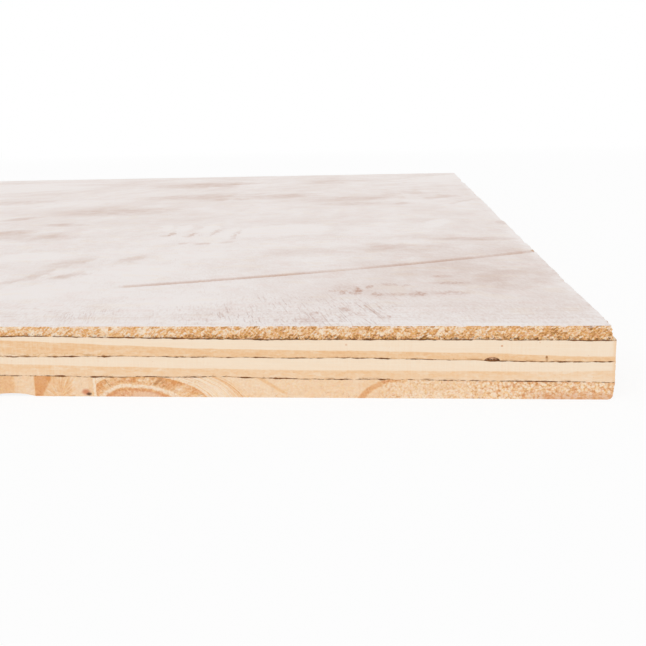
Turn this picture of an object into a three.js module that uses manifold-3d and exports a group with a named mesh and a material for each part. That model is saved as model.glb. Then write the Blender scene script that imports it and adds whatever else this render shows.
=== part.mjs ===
// A sheet of four-ply softwood plywood with a whitewashed face, lying flat.
//
// Millimetres, +Z up. X runs along the sheet's length and Y across its width. The origin is under the middle
// of the sheet, on the surface that it lies on. The front edge is at -Y and the right end at +X. The grain
// of the face and back veneers runs along Y, and that of the two crossbands between them along X.

import * as THREE from 'three';
import { mergeVertices } from 'three/addons/utils/BufferGeometryUtils.js';
import Module from 'manifold-3d';

const wasm = await Module();
wasm.setup();

// ---- Sheet ----
const sheetLength = 1220;
const sheetWidth = 610;

// ---- Plies, from the top down ----
const faceVeneerThickness = 2.2;          // peeled like the others, then sanded
const upperCrossbandThickness = 3.3;
const lowerCrossbandThickness = 3.4;
const backVeneerThickness = 3.1;

// ---- Glue lines: the press beds the plies unevenly, so each line rises and falls along the sheet ----
const upperGlueWave = 0.45;               // rise and fall either side of the level
const middleGlueWave = 0.58;
const lowerGlueWave = 0.5;
const glueWaveLength = 360;               // crest to crest
const glueWaveLevelFromEnd = 31;          // from the right end in to where the lines cross their level
const glueFacetLength = 20;               // length of the flat strips that make up a wave

// ---- Torn upper arris: along the right end the face veneer has broken back to an uneven line ----
const tornDepth = 0.65;                   // how far the veneer stands back from the crossbands' ends
const tornFlareHeight = 0.8;              // where the break runs out again towards the glue line
const tornFootHeight = 0.15;              // veneer left flush above the glue line
const tornFlareSteps = 4;
const tearStep = 5;                       // length of the straight lengths that make up the broken line
const tearLongWave = { depth: 0.07, length: 83, phase: 1.9 };
const tearShortWave = { depth: 0.05, length: 29, phase: 0.6 };

// ---- Slivers that came away with the grain along the torn arris ----
const sliverDepth = 0.45;                 // below the face
const slivers = [
  { fromFront: 41, length: 27, width: 0.25 },
  { fromFront: 118, length: 16, width: 0.35 },
  { fromFront: 198, length: 44, width: 0.45 },
  { fromFront: 331, length: 38, width: 0.6 },
  { fromFront: 472, length: 61, width: 0.8 },
];

// ---- Scrape: a shallow bowed gouge that runs in from the right end and stops short ----
const scrapeLength = 109;                 // along its chord
const scrapeWidth = 3.4;
const scrapeDepth = 0.28;
const scrapeBow = 3.6;                    // how far its middle bends towards the front edge
const scrapeFacetLength = 5;
const scrapeFromFront = 97;               // where it leaves the sheet, behind the front edge
const scrapeSkew = 30.5;                  // degrees that it turns towards the front edge

// ---- Worn lower arris: along the right end the back veneer is rubbed round ----
const wornRadius = 0.8;
const wornSlope = 0.25;                   // how far the veneer's end has been rubbed back above the round
const wornSteps = 4;

// ---- Glue-starved pocket on the front edge, in the underside of the upper crossband ----
const pocketFromEnd = 19.3;               // its middle, from the right end
const pocketWidth = 2.5;
const pocketHeight = 0.5;
const pocketDepth = 4;

// ---- Bruise on the front lower arris, where the sheet was set down on something hard ----
const bruiseFromEnd = 99.5;               // its middle, from the right end
const bruiseLength = 8;
const bruiseHeight = 0.5;
const bruiseDepth = 8;                    // in from the front edge
const bruiseRoundness = 3;                // height of the egg shape that pressed it, in heights of the bruise

// ---- Cutting tools ----
const overrun = 1;                        // how far a tool reaches past what it cuts
const toolFacets = 16;

// ---- Levels and ends that follow from the sizes ----
const rightEnd = sheetLength / 2;
const frontEdge = -sheetWidth / 2;
const lowerGlueLevel = backVeneerThickness;
const middleGlueLevel = lowerGlueLevel + lowerCrossbandThickness;
const upperGlueLevel = middleGlueLevel + upperCrossbandThickness;
const faceLevel = upperGlueLevel + faceVeneerThickness;

// Height of a glue line, or of an outer face, at a distance x along the sheet.
function glueLine(level, wave) {
  const levelCrossing = rightEnd - glueWaveLevelFromEnd;
  return (x) => level - wave * Math.sin((2 * Math.PI * (x - levelCrossing)) / glueWaveLength);
}

const underside = () => 0;
const lowerGlueLine = glueLine(lowerGlueLevel, lowerGlueWave);
const middleGlueLine = glueLine(middleGlueLevel, middleGlueWave);
const upperGlueLine = glueLine(upperGlueLevel, upperGlueWave);
const face = () => faceLevel;

// ---- From three.js geometry to a solid that can be cut, and back ----
function toSolid(geometry) {
  geometry.deleteAttribute('normal');
  geometry.deleteAttribute('uv');
  const merged = mergeVertices(geometry);
  const mesh = new wasm.Mesh({
    numProp: 3,
    vertProperties: new Float32Array(merged.attributes.position.array),
    triVerts: new Uint32Array(merged.index.array),
  });
  return new wasm.Manifold(mesh);
}

function toGeometry(solid) {
  const mesh = solid.getMesh();
  const geometry = new THREE.BufferGeometry();
  geometry.setAttribute('position', new THREE.BufferAttribute(mesh.vertProperties, 3));
  geometry.setIndex(new THREE.BufferAttribute(mesh.triVerts, 1));
  geometry.computeVertexNormals();
  return geometry;
}

// A ply before it is damaged: a flat board whose two faces are bent to the lines it lies between.
function pressedPly(lowerFace, upperFace) {
  const facets = Math.round(sheetLength / glueFacetLength);
  const board = new THREE.BoxGeometry(sheetLength, sheetWidth, 1, facets, 1, 1);
  const position = board.attributes.position;
  for (let i = 0; i < position.count; i += 1) {
    const x = position.getX(i);
    const bentFace = position.getZ(i) > 0 ? upperFace : lowerFace;
    position.setZ(i, bentFace(x));
  }
  return toSolid(board);
}

// A tool that runs along the whole right end: an outline in X and Z, drawn out along Y.
function rightEndTool(outline, steps) {
  const length = sheetWidth + 2 * overrun;
  const tool = new THREE.ExtrudeGeometry(outline, { depth: length, steps, bevelEnabled: false });
  tool.rotateX(Math.PI / 2);
  tool.translate(rightEnd, length / 2, 0);
  return tool;
}

// How much further than its even depth the veneer has torn, at a distance y across the sheet.
function tear(y) {
  const wave = ({ depth, length, phase }) => depth * Math.sin((2 * Math.PI * y) / length + phase);
  return wave(tearLongWave) + wave(tearShortWave);
}

// What is missing from the face veneer's right end: straight down from the face, then flaring out to the
// foot that is left above the glue line.
function tornArris() {
  const footLevel = upperGlueLine(rightEnd) + tornFootHeight;
  const outline = new THREE.Shape();
  outline.moveTo(overrun, footLevel);
  outline.lineTo(0, footLevel);
  for (let step = 1; step <= tornFlareSteps; step += 1) {
    const turn = (Math.PI / 2) * (step / tornFlareSteps);
    outline.lineTo(-tornDepth * Math.sin(turn), footLevel + tornFlareHeight * (1 - Math.cos(turn)));
  }
  outline.lineTo(-tornDepth, faceLevel + overrun);
  outline.lineTo(overrun, faceLevel + overrun);
  const tool = rightEndTool(outline, Math.round(sheetWidth / tearStep));
  const position = tool.attributes.position;
  for (let i = 0; i < position.count; i += 1) {
    const inward = rightEnd - position.getX(i);
    if (inward > 0) {
      position.setX(i, rightEnd - inward * (1 + tear(position.getY(i)) / tornDepth));
    }
  }
  return toSolid(tool);
}

// One sliver's bed: a long lens let into the arris, in line with the grain.
function sliverBed({ fromFront, length, width }) {
  const lens = new THREE.SphereGeometry(1, toolFacets, toolFacets / 2);
  lens.rotateX(Math.PI / 2);
  lens.scale(tornDepth + width, length / 2, sliverDepth);
  lens.translate(rightEnd, frontEdge + fromFront, faceLevel);
  return toSolid(lens);
}

// The scrape: a flat oval drawn along a bowed line in the face, from past the right end inwards.
function scrape() {
  const oval = new THREE.Shape();
  oval.absellipse(0, 0, scrapeDepth, scrapeWidth / 2, 0, 2 * Math.PI);
  const line = new THREE.QuadraticBezierCurve3(
    new THREE.Vector3(2 * overrun, 0, 0),
    new THREE.Vector3(-scrapeLength / 2, -2 * scrapeBow, 0),
    new THREE.Vector3(-scrapeLength, 0, 0),
  );
  const gouge = new THREE.ExtrudeGeometry(oval, {
    curveSegments: toolFacets / 2,
    steps: Math.round(scrapeLength / scrapeFacetLength),
    extrudePath: line,
  });
  gouge.rotateZ(THREE.MathUtils.degToRad(scrapeSkew));
  gouge.translate(rightEnd, frontEdge + scrapeFromFront, faceLevel);
  return toSolid(gouge);
}

// What is missing from the back veneer's right end: a rubbed slope, then a rounded corner at the underside.
function wornArris() {
  const slopeTop = lowerGlueLine(rightEnd);
  const roundCentre = new THREE.Vector2(-wornSlope - wornRadius, wornRadius);
  const outline = new THREE.Shape();
  outline.moveTo(overrun, slopeTop);
  outline.lineTo(overrun, -overrun);
  outline.lineTo(roundCentre.x, -overrun);
  for (let step = 0; step <= wornSteps; step += 1) {
    const turn = (Math.PI / 2) * (step / wornSteps);
    const out = roundCentre.x + wornRadius * Math.sin(turn);
    outline.lineTo(out, roundCentre.y - wornRadius * Math.cos(turn));
  }
  outline.lineTo(0, slopeTop);
  return toSolid(rightEndTool(outline, 1));
}

// The pocket: half of an egg-shaped hollow, open at the front edge and floored by the lower crossband.
function gluePocket() {
  const x = rightEnd - pocketFromEnd;
  const hollow = new THREE.SphereGeometry(1, toolFacets, toolFacets / 2);
  hollow.scale(pocketWidth / 2, pocketDepth, pocketHeight);
  hollow.translate(x, frontEdge, middleGlueLine(x));
  return toSolid(hollow);
}

// The bruise: a shallow hollow pressed into the arris from below by the top of an egg shape.
function bruise() {
  const hollow = new THREE.SphereGeometry(1, 2 * toolFacets, toolFacets);
  const middleDepth = 1 - 1 / bruiseRoundness;
  const shareInSheet = Math.sqrt(1 - middleDepth ** 2);
  const eggHeight = bruiseRoundness * bruiseHeight;
  hollow.scale(bruiseLength / 2 / shareInSheet, bruiseDepth / shareInSheet, eggHeight);
  hollow.translate(rightEnd - bruiseFromEnd, frontEdge, -eggHeight * middleDepth);
  return toSolid(hollow);
}

// ---- The four plies ----
function faceVeneer() {
  const veneer = pressedPly(upperGlueLine, face);
  const cuts = [tornArris(), ...slivers.map(sliverBed), scrape()];
  return cuts.reduce((solid, cut) => solid.subtract(cut), veneer);
}

function upperCrossband() {
  return pressedPly(middleGlueLine, upperGlueLine).subtract(gluePocket());
}

function lowerCrossband() {
  return pressedPly(lowerGlueLine, middleGlueLine);
}

function backVeneer() {
  return pressedPly(underside, lowerGlueLine).subtract(wornArris()).subtract(bruise());
}

// ---- Finishes ----
const whitewashedWood = new THREE.MeshStandardMaterial({ color: 0xe6dbd5, roughness: 0.75, metalness: 0 });
const creamLongGrain = new THREE.MeshStandardMaterial({ color: 0xf1dcc3, roughness: 0.8, metalness: 0 });
const tanLongGrain = new THREE.MeshStandardMaterial({ color: 0xefd1a8, roughness: 0.8, metalness: 0 });
const rawEndGrain = new THREE.MeshStandardMaterial({ color: 0xe9c397, roughness: 0.85, metalness: 0 });

function piece(name, solid, material) {
  const mesh = new THREE.Mesh(toGeometry(solid), material);
  mesh.name = name;
  return mesh;
}

const plywoodSheet = new THREE.Group();
plywoodSheet.add(
  piece('face_veneer', faceVeneer(), whitewashedWood),
  piece('upper_crossband', upperCrossband(), creamLongGrain),
  piece('lower_crossband', lowerCrossband(), tanLongGrain),
  piece('back_veneer', backVeneer(), rawEndGrain),
);

export default plywoodSheet;
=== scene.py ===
"""The looks of a four-ply plywood sheet: its veneers, the glue between them and a plain studio."""

import math

import bmesh
import bpy
import numpy as np
from bpy.props import FloatProperty, FloatVectorProperty, PointerProperty
from mathutils import Matrix, Vector, noise
from mathutils.bvhtree import BVHTree


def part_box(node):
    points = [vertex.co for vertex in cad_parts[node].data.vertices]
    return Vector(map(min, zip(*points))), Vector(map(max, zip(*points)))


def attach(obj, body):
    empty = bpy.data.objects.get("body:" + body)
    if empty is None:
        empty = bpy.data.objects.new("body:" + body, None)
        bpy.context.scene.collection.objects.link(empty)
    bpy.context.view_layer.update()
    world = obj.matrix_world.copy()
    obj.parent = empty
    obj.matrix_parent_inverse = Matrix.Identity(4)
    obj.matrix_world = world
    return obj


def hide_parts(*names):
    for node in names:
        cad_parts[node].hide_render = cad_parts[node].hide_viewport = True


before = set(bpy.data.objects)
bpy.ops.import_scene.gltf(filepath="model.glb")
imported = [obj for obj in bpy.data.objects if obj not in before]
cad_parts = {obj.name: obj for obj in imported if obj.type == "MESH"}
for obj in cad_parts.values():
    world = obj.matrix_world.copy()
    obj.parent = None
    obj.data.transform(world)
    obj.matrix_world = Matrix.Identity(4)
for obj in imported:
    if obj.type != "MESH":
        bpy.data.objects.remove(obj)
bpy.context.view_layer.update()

bl_info = {
    "name": "Plywood Sheet",
    "version": (1, 0, 0),
    "blender": (4, 5, 0),
    "location": "View3D > Sidebar > Plywood",
    "description": "Builds the veneers, glue lines and finishes of a plywood sheet",
    "category": "Add Mesh",
}

MM = 0.001
BODY = "root"

# ---- The sheet, as the solids give it ----
SHEET_LOW, SHEET_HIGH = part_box("upper_crossband")
LEFT_END, RIGHT_END = SHEET_LOW.x, SHEET_HIGH.x
FRONT_EDGE, BACK_EDGE = SHEET_LOW.y, SHEET_HIGH.y
UNDER_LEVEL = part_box("back_veneer")[0].z
FACE_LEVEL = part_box("face_veneer")[1].z

# ---- Sides of a ply, in the order of its material slots ----
FACE, UNDERSIDE, LONG_EDGE, SHORT_END = range(4)

# ---- The stretch of the front edge that runs up to the worn corner, in millimetres along X ----
STRETCH_START = 508
STRETCH_LENGTH = 102

UNBOUNDED = 9999          # half size of a mark along an axis that it has no end on, in millimetres


def srgb(red, green, blue):
    """A colour given as 0 to 255, in the linear light that Blender works in."""
    return tuple(((part / 255 + 0.055) / 1.055) ** 2.4 for part in (red, green, blue))


# ---- Tints that belong to one place or one stain ----
YELLOW_SPOTS = srgb(246, 206, 128)
PINK_SPOTS = srgb(232, 172, 148)
RUBBED_WASH = srgb(186, 122, 100)
GOLDEN_WOOD = srgb(225, 165, 102)
EYE_WOOD = srgb(216, 152, 116)
EYE_HEART = srgb(236, 204, 176)
KNOT_HALO = srgb(206, 124, 84)
WORN_ARRIS = srgb(214, 156, 114)
SEEPED_GLUE = srgb(212, 162, 96)
ORANGE_SPECK = srgb(204, 132, 78)
POCKET_CRUST = srgb(162, 122, 96)
# A painted highlight for the top of the resin lumps in the pocket
POCKET_TOP_HIGHLIGHT = srgb(222, 178, 142)
POCKET_SEAM = srgb(228, 184, 152)


# ---------------------------------------------------------------- what a user may change

class SheetDetail(bpy.types.PropertyGroup):
    """How finely the worn corner and the rest of the sheet are modelled, and how rough its edges are."""

    finest_edge: FloatProperty(
        name="Finest edge", default=0.25 * MM, min=0.1 * MM, unit="LENGTH",
        description="Longest mesh edge on the sawn edges near the worn corner",
    )
    fine_stretch: FloatProperty(
        name="Fine stretch", default=108 * MM, unit="LENGTH",
        description="Length of the front edge, from the worn corner, that keeps the finest mesh",
    )
    edge_growth: FloatProperty(
        name="Growth along the edges", default=2.6 * MM,
        description="How much longer a mesh edge may be for each metre from the fine stretch",
    )
    inward_growth: FloatProperty(
        name="Growth inwards", default=0.4,
        description="How much longer a mesh edge may be for each metre in from the sawn edges",
    )
    scrape_edge: FloatProperty(
        name="Scrape edge", default=0.7 * MM, unit="LENGTH",
        description="Longest mesh edge along the scrape in the face",
    )
    glue_gap: FloatProperty(
        name="Glue line", default=0.17 * MM, unit="LENGTH",
        description="Nominal thickness of the glue between two plies, most of which is thinner",
    )
    end_grain_pits: FloatProperty(
        name="End grain pits", default=0.14 * MM, unit="LENGTH",
        description="Depth of the torn cells in sawn end grain",
    )
    long_grain_fur: FloatProperty(
        name="Long grain fur", default=0.03 * MM, unit="LENGTH",
        description="Depth of the fibres and saw marks in sawn long grain",
    )
    arris_tear: FloatProperty(
        name="Arris tear", default=0.5 * MM, unit="LENGTH",
        description="How much deeper the fibres are torn along the face's right arris",
    )


class WoodFinish(bpy.types.PropertyGroup):
    """The colours of the wood, the wash on its face and the glue."""

    wash: FloatVectorProperty(
        name="Wash", default=srgb(245, 238, 235), subtype="COLOR",
        description="The white stain on the face where it is thickest",
    )
    bare_face: FloatVectorProperty(
        name="Bare face", default=srgb(196, 158, 136), subtype="COLOR",
        description="The wood of the face where the wash has rubbed off",
    )
    cream_wood: FloatVectorProperty(
        name="Cream wood", default=srgb(245, 227, 204), subtype="COLOR",
        description="The palest earlywood",
    )
    tan_wood: FloatVectorProperty(
        name="Tan wood", default=srgb(238, 199, 156), subtype="COLOR",
        description="Wood between the earlywood and the latewood",
    )
    late_wood: FloatVectorProperty(
        name="Latewood", default=srgb(221, 156, 100), subtype="COLOR",
        description="The orange-brown rings of latewood",
    )
    torn_wood: FloatVectorProperty(
        name="Torn wood", default=srgb(162, 113, 68), subtype="COLOR",
        description="The brown of torn cells in sawn end grain",
    )
    # This dark colour also serves as painted shade in the pits and crevice of the face ply's end grain.
    dark_wood_and_shade: FloatVectorProperty(
        name="Dark wood", default=srgb(92, 60, 40), subtype="COLOR",
        description="Knots, cracks and torn pits",
    )
    glue: FloatVectorProperty(
        name="Glue", default=srgb(128, 84, 50), subtype="COLOR",
        description="The resin between the plies",
    )


class StudioView(bpy.types.PropertyGroup):
    """Where the camera stands and how bright the lamps are."""

    camera_place: FloatVectorProperty(
        name="Camera place", default=(578.62 * MM, -449.53 * MM, 41.79 * MM),
        unit="LENGTH", subtype="TRANSLATION",
        description="Where the camera stands",
    )
    camera_heading: FloatProperty(
        name="Heading", default=math.radians(-5.889), subtype="ANGLE",
        description="How far the camera turns to the right of straight across the sheet",
    )
    camera_tilt: FloatProperty(
        name="Tilt", default=math.radians(11.382), subtype="ANGLE",
        description="How far the camera looks down",
    )
    camera_roll: FloatProperty(
        name="Roll", default=math.radians(-1.288), subtype="ANGLE",
        description="How far the camera leans about its own axis",
    )
    camera_lens: FloatProperty(
        name="Lens", default=51.2,
        description="Focal length in millimetres on a sensor 36 mm wide",
    )
    sky_strength: FloatProperty(
        name="Sky strength", default=0.72,
        description="Brightness of the even light from all round",
    )
    key_power: FloatProperty(
        name="Key power", default=0.9,
        description="Strength of the large soft lamp above the front",
    )
    floor_glow: FloatProperty(
        name="Floor glow", default=0.86, subtype="FACTOR",
        description="How much of the floor's white is its own, so that shadows on it stay pale",
    )


# ---------------------------------------------------------------- node graphs, written as sums

class Signal:
    """A number that varies over a surface. Sums and products of signals make new ones."""

    def __init__(self, graph, socket):
        self.graph = graph
        self.socket = socket

    def __add__(self, other):
        return self.graph.math("ADD", self, other)

    def __sub__(self, other):
        return self.graph.math("SUBTRACT", self, other)

    def __rsub__(self, other):
        return self.graph.math("SUBTRACT", other, self)

    def __mul__(self, other):
        return self.graph.math("MULTIPLY", self, other)

    def __truediv__(self, number):
        return self * (1 / number)

    __radd__ = __add__
    __rmul__ = __mul__

    def at_least(self, other):
        return self.graph.math("MAXIMUM", self, other)

    def at_most(self, other):
        return self.graph.math("MINIMUM", self, other)

    def fraction(self):
        """What is left over the whole number below, so that a pattern repeats at every whole number."""
        return self.graph.math("FRACT", self)

    def above(self, low, high):
        """0 up to low, 1 from high on, and smooth between them."""
        step = self.graph.add("ShaderNodeMapRange", interpolation_type="SMOOTHSTEP")
        self.graph.feed(step.inputs["Value"], self)
        step.inputs["From Min"].default_value = low
        step.inputs["From Max"].default_value = high
        return Signal(self.graph, step.outputs["Result"])

    def below(self, low, high):
        """1 up to low, 0 from high on, and smooth between them."""
        return 1 - self.above(low, high)

    def within(self, half, soft):
        """1 where the signal is within half of zero, fading out over soft."""
        return self.graph.math("ABSOLUTE", self).below(half, half + soft)

    def curve(self, *stops):
        """Follows a line through (signal, result) stops, which lie between 0 and 1."""
        return Signal(self.graph, self.graph.ramp(self, [(at, (result,) * 3) for at, result in stops]))


class Graph:
    """The nodes of one material."""

    def __init__(self, name):
        self.material = bpy.data.materials.new(name)
        self.material.use_nodes = True
        self.nodes = self.material.node_tree.nodes
        self.links = self.material.node_tree.links
        self.shader = self.nodes["Principled BSDF"]
        metres = self.add("ShaderNodeTexCoord").outputs["Object"]
        self.place = self.vector_math("DIVIDE", metres, (MM, MM, MM))
        self.x, self.y, self.z = self.parts(self.place)

    def add(self, kind, **settings):
        node = self.nodes.new(kind)
        for name, setting in settings.items():
            setattr(node, name, setting)
        return node

    def feed(self, socket, value):
        """Links a signal or an output to a socket, or sets the socket."""
        if isinstance(value, Signal):
            value = value.socket
        if isinstance(value, bpy.types.NodeSocket):
            self.links.new(value, socket)
        elif hasattr(value, "__len__") and socket.type == "RGBA":
            socket.default_value = (*value, 1)
        else:
            socket.default_value = value

    def math(self, operation, first, second=0):
        node = self.add("ShaderNodeMath", operation=operation)
        self.feed(node.inputs[0], first)
        self.feed(node.inputs[1], second)
        return Signal(self, node.outputs[0])

    def vector_math(self, operation, first, second):
        node = self.add("ShaderNodeVectorMath", operation=operation)
        self.feed(node.inputs[0], first)
        self.feed(node.inputs[1], second)
        return node.outputs["Vector"]

    def parts(self, vector):
        node = self.add("ShaderNodeSeparateXYZ")
        self.feed(node.inputs[0], vector)
        return [Signal(self, part) for part in node.outputs]

    def vector(self, x, y, z):
        node = self.add("ShaderNodeCombineXYZ")
        for socket, part in zip(node.inputs, (x, y, z)):
            self.feed(socket, part)
        return node.outputs[0]

    def noise(self, lumps, seed=0, detail=2.0, rough=0.5, place=None):
        """Soft noise from 0 to 1, with lumps of a size in millimetres along x, y and z."""
        place = place or self.place
        shifted = self.vector_math("ADD", place, (seed * 137.0, seed * 71.0, seed * 53.0))
        node = self.add("ShaderNodeTexNoise")
        self.feed(node.inputs["Vector"], self.vector_math("DIVIDE", shifted, lumps))
        node.inputs["Scale"].default_value = 1
        node.inputs["Detail"].default_value = detail
        node.inputs["Roughness"].default_value = rough
        return Signal(self, node.outputs[0])

    def cells(self, size, seed=0, place=None):
        """Cells of a size in millimetres: the distance to the cell's middle, and a number for the cell."""
        place = place or self.place
        shifted = self.vector_math("ADD", place, (seed * 137.0, seed * 71.0, seed * 53.0))
        node = self.add("ShaderNodeTexVoronoi", feature="F1")
        self.feed(node.inputs["Vector"], self.vector_math("DIVIDE", shifted, size))
        node.inputs["Scale"].default_value = 1
        return Signal(self, node.outputs["Distance"]), self.parts(node.outputs["Color"])[0]

    def distance(self, centre, radii, turn=0.0, place=None):
        """How far a point is from a centre, 1 at the radii; turn is in degrees about Z."""
        node = self.add("ShaderNodeMapping", vector_type="TEXTURE")
        self.feed(node.inputs["Vector"], place or self.place)
        node.inputs["Location"].default_value = centre
        node.inputs["Rotation"].default_value = (0, 0, math.radians(turn))
        node.inputs["Scale"].default_value = radii
        length = self.add("ShaderNodeVectorMath", operation="LENGTH")
        self.feed(length.inputs[0], node.outputs["Vector"])
        return Signal(self, length.outputs["Value"])

    def from_spot(self, x, z, half_length, half_height):
        """How far a point is from a spot on the front edge, 1 at its half sizes in millimetres."""
        return self.distance((x, 0, z), (half_length, UNBOUNDED, half_height))

    def along_edge(self, axis):
        """The place along a sawn edge that runs on X or Y, and the place on it as if it were flat."""
        along = self.x if axis == "x" else self.y
        return along, self.vector(along, self.z, 0)

    def ramp(self, share, stops):
        """A colour that follows a share from 0 to 1 through (share, colour) stops."""
        node = self.add("ShaderNodeValToRGB")
        self.feed(node.inputs["Fac"], share)
        elements = node.color_ramp.elements
        for _ in stops[2:]:
            elements.new(0.5)
        for element, (at, colour) in zip(elements, stops):
            element.position = at
            element.color = (*colour, 1)
        return node.outputs["Color"]

    def mix(self, share, first, second):
        """The first colour, giving way to the second as the share goes to 1."""
        node = self.add("ShaderNodeMix", data_type="RGBA")
        self.feed(node.inputs[0], share)
        self.feed(node.inputs[6], first)
        self.feed(node.inputs[7], second)
        return node.outputs[2]

    def tinted(self, colour, lump, place, strength):
        """The colour, with small spots of it turned yellower and others pinker."""
        spots = self.noise((lump, lump * 0.8, 1), 21, 1, 0.5, place)
        colour = self.mix(spots.above(0.54, 0.68) * strength, colour, YELLOW_SPOTS)
        return self.mix(spots.below(0.32, 0.46) * strength, colour, PINK_SPOTS)

    def attribute(self, name):
        return Signal(self, self.add("ShaderNodeAttribute", attribute_name=name).outputs["Fac"])

    def finish(self, colour, roughness, relief, depth):
        """Joins the colour, roughness and relief to the shader; depth is the relief's, in millimetres."""
        bump = self.add("ShaderNodeBump")
        bump.inputs["Distance"].default_value = depth * MM
        self.feed(bump.inputs["Height"], relief)
        self.feed(self.shader.inputs["Base Color"], colour)
        self.feed(self.shader.inputs["Roughness"], roughness)
        self.feed(self.shader.inputs["Normal"], bump.outputs["Normal"])
        self.shader.inputs["Specular IOR Level"].default_value = 0.12
        return self.material


# ---------------------------------------------------------------- finishes

def timber(graph, finish, tone):
    """Wood colour from a tone: 0 is cream earlywood, 1 orange latewood."""
    return graph.ramp(tone, [(0, finish.cream_wood), (0.45, finish.tan_wood), (1, finish.late_wood)])


# Marks on the face, each by the x and y of its middle, its half sizes in millimetres, its turn in degrees
# and its strength. These are where the wash is thinner, or thicker where the strength is below 0.
FACE_MARKS = (
    (586, -236, 30, 58, -3, 0.1), (580, -172, 16, 14, -5, 0.1), (563, -203, 16, 14, -5, 0.06),
    (556, -247, 9, 9, -3, 0.08), (604, -206, 6, 10, -4, 0.07), (454, -160, 18, 16, -8, 0.12),
    (437, 172, 36, 46, -18, 0.22), (460, 43, 40, 34, -14, 0.15), (482, 14, 12, 16, -13, 0.14),
    (511, 38, 20, 28, -14, 0.17), (517, 188, 18, 34, -20, 0.12), (540, 7, 22, 34, -13, 0.11),
    (546, -25, 14, 14, -12, 0.12), (566, 32, 16, 58, -14, 0.12), (572, -27, 8, 14, -12, 0.13),
    (591, 14, 8, 20, -14, 0.16), (601, -21, 4, 22, -13, 0.12), (609, -127, 3, 11, -8, 0.16),
    (370, 16, 20, 22, -12, 0.12), (446, -53, 34, 32, -10, 0.16), (418, -89, 7, 12, -9, 0.16),
    (448, -117, 10, 8, -8, 0.18), (439, -146, 9, 12, -7, 0.24), (458, -153, 10, 13, -6, 0.1),
    (498.2, -158.5, 2.4, 4, -6, 0.14), (596, -179, 14, 6, -6, 0.16), (574, -195, 16, 14, -5, 0.12),
    (545, -206, 16, 13, -5, 0.08), (598, -258, 16, 24, -3, 0.05), (592, -236, 4.5, 6, -3, 0.03),
    (595, -262, 1.8, 5, -2, 0.05), (491, -244, 11, 3, 92, 0.18), (491, -225, 12, 5, 81, 0.14),
    (499, -246, 7, 3.4, 76, 0.22), (505, -217, 10, 3.6, 79, 0.14), (489, -256, 5, 1.8, 82, 0.12),
    (475, -211, 12, 10, -4, -0.14), (512, -237, 8, 10, -3, -0.14), (501, -269, 11, 11, -2, -0.12),
    (536, -146, 16, 22, -7, -0.2), (492, -134, 2.2, 12, 14, -0.2), (498.7, -136, 3, 13, 10, -0.2),
    (508, -137, 3.6, 14, 8, -0.2), (517.5, -152, 2, 15, 5, -0.2), (524, -150, 3, 16, 5, -0.2),
    (498.9, -153.5, 1, 9, 9, 0.22), (506.4, -157, 1.6, 8, -2, 0.26), (512.9, -149.5, 1.2, 14, 4, 0.22),
    (521.2, -157.5, 1, 18, 6, 0.18), (509.7, -182, 1.8, 3.6, -4, 0.14), (516.1, -183, 3.2, 4, -4, 0.2),
    (522.8, -180.5, 2.8, 3.8, -6, 0.12), (520, -211, 9, 8, -4, -0.1), (534, -283, 14, 12, -2, -0.07),
    (287, 200, 38, 66, -17, -0.08), (318, 158, 46, 50, -17, -0.09), (529, -150, 18, 22, -6, -0.035),
    (558, -272, 9, 16, -3, 0.028), (574, -268, 13, 12, -3, 0.034), (582, -290, 14, 14, -2, 0.03),
    (606, -287, 9, 18, -2, 0.036), (591, 204, 21, 80, -21, -0.12), (586, -128, 4.5, 18, -8, -0.11),
)

# Small rubs that show the bare wood
FACE_RUBS = (
    (564, -266.5, 2.8, 6, 4, 0.22), (562.3, -270.3, 1.8, 1.5, -2, 0.35), (564.7, -272.2, 1.3, 3, 3, 0.64),
    (567, -270, 1.1, 5.8, 4, 0.92), (569.2, -265.3, 1.1, 2.6, 2, 0.6), (571, -274.6, 1.4, 2.8, 2, 0.5),
    (573.4, -262.6, 2, 2.4, -2, 0.38), (575, -275, 6.5, 2, -2, 0.3), (578.9, -274.2, 1.6, 3.8, -2, 0.56),
    (576.5, -264, 0.6, 2.4, -2, 0.35), (585.2, -261, 5, 2.1, -2, 0.44),
    (584.2, -251.8, 2.8, 2.2, -2, 0.35), (585.2, -273.4, 4.8, 2.8, -2, 0.4),
    (566.2, -290.3, 1.7, 2.8, 8, 0.55), (568.4, -295, 2.1, 2, 0, 0.35),
    (573.7, -297.3, 0.9, 1.9, 0, 0.45), (561, -294, 1, 2.4, 0, 0.4), (561, -300, 3, 3.5, -2, 0.4),
)

# Thin straight scratches and dark grain lines
FACE_SCRATCHES = (
    (570.6, -290, 0.14, 18, 14.3, 0.34), (562.5, -283.6, 0.13, 6, 13, 0.32),
    (565.7, -286.2, 0.13, 6.2, 13, 0.3), (565.7, -297.6, 0.18, 4.8, 19, 0.55),
    (570.4, -300.2, 0.15, 3.6, 18, 0.5), (571.8, -301.1, 0.14, 3.4, 10, 0.4),
    (575.1, -279.5, 0.14, 4.2, 16, 0.35), (506.6, -288.2, 1.3, 0.45, 28, 0.32),
    (508.6, -288.3, 1.5, 0.4, -31, 0.34), (506.6, -295.8, 1.8, 0.5, 3, 0.26),
    (512.6, -291.4, 0.7, 0.5, 15, 0.45), (514.2, -290.9, 0.5, 0.45, 15, 0.35),
)

# Bunches of short slanted ticks near the front edge
FACE_TICKS = (
    (517.9, -297.4, 2.1, 7, 21, 0.36), (522.1, -298, 1.9, 5.5, 20, 0.36),
    (527.4, -300.2, 1.2, 3.4, 18, 0.26),
)

# The scrape in the face: where it leaves the sheet, its turn in degrees, its length and how far its
# middle bends towards the front edge, in millimetres
SCRAPE_EXIT = (610, -208)
SCRAPE_TURN = 30.5
SCRAPE_LENGTH = 109
SCRAPE_BOW = 3.6

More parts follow.
